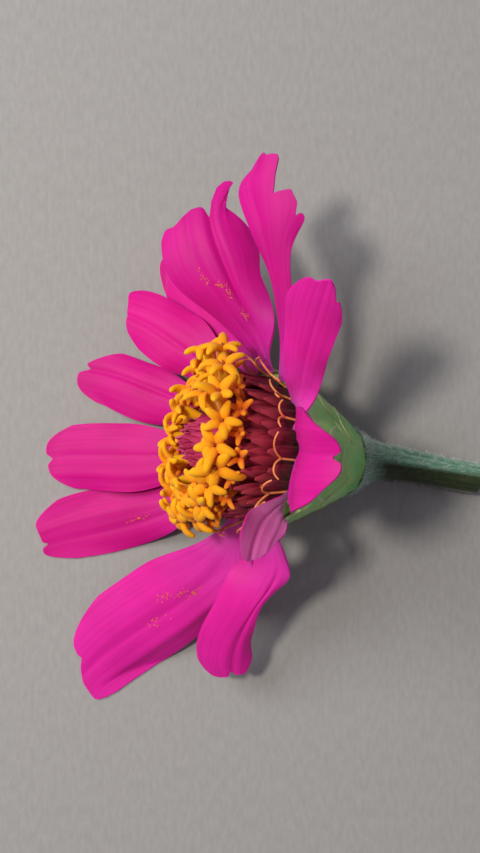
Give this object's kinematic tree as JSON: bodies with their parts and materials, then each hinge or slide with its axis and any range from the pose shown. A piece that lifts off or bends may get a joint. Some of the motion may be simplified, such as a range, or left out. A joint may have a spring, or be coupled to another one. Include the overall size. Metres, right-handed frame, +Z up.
{
  "type": "zinnia flower",
  "caption": "Cut zinnia bloom lying on its side: lobed magenta petals, yellow star florets round a crimson dome, scaly green cup and a short stem.",
  "frame": {"origin": "on the table, under the middle of the part's box", "axes": "+Z up from the table, +X level and towards the cut end of the stem, +Y level and across it"},
  "size_m": [0.0691, 0.0784, 0.0468],
  "materials": {
    "ray_magenta": "satin",
    "stem_green": "matte",
    "involucre_green": "satin",
    "chaff_crimson": "matte",
    "floret_yellow": "matte"
  },
  "bodies": {
    "root": {"stem": "stem_green", "involucre": "involucre_green", "chaff": "chaff_crimson", "disc_florets": "floret_yellow", "ray_floret_01": "ray_magenta", "ray_floret_02": "ray_magenta", "ray_floret_03": "ray_magenta", "ray_floret_04": "ray_magenta", "ray_floret_05": "ray_magenta", "ray_floret_06": "ray_magenta", "ray_floret_07": "ray_magenta", "ray_floret_08": "ray_magenta", "ray_floret_09": "ray_magenta", "ray_floret_10": "ray_magenta", "ray_floret_11": "ray_magenta", "ray_floret_12": "ray_magenta"}
  },
  "joints": []
}
